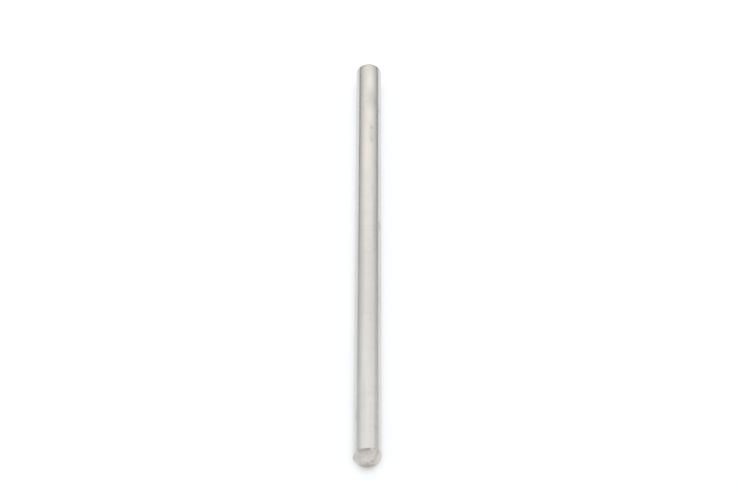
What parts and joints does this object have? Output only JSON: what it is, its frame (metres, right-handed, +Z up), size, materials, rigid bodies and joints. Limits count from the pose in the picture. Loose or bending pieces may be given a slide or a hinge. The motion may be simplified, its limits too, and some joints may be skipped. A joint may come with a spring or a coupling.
{
  "type": "dowel pin",
  "caption": "Long, slender parallel pin of ground steel, with a short tapered lead and a domed face on one end and the other end cut square with a rounded rim.",
  "frame": {"origin": "on the pin's axis, halfway along its length", "axes": "+Y along the pin's axis, away from the end nearest the camera in the picture; +Z up as the pin lies in the picture; +X to the right in the picture"},
  "size_m": [0.005, 0.1, 0.005],
  "materials": {
    "ground_steel": "ground steel with a soft sheen, faint handling marks on the shank, and a duller, uneven near end"
  },
  "bodies": {
    "root": {"dowel_pin": "ground_steel"}
  },
  "joints": []
}
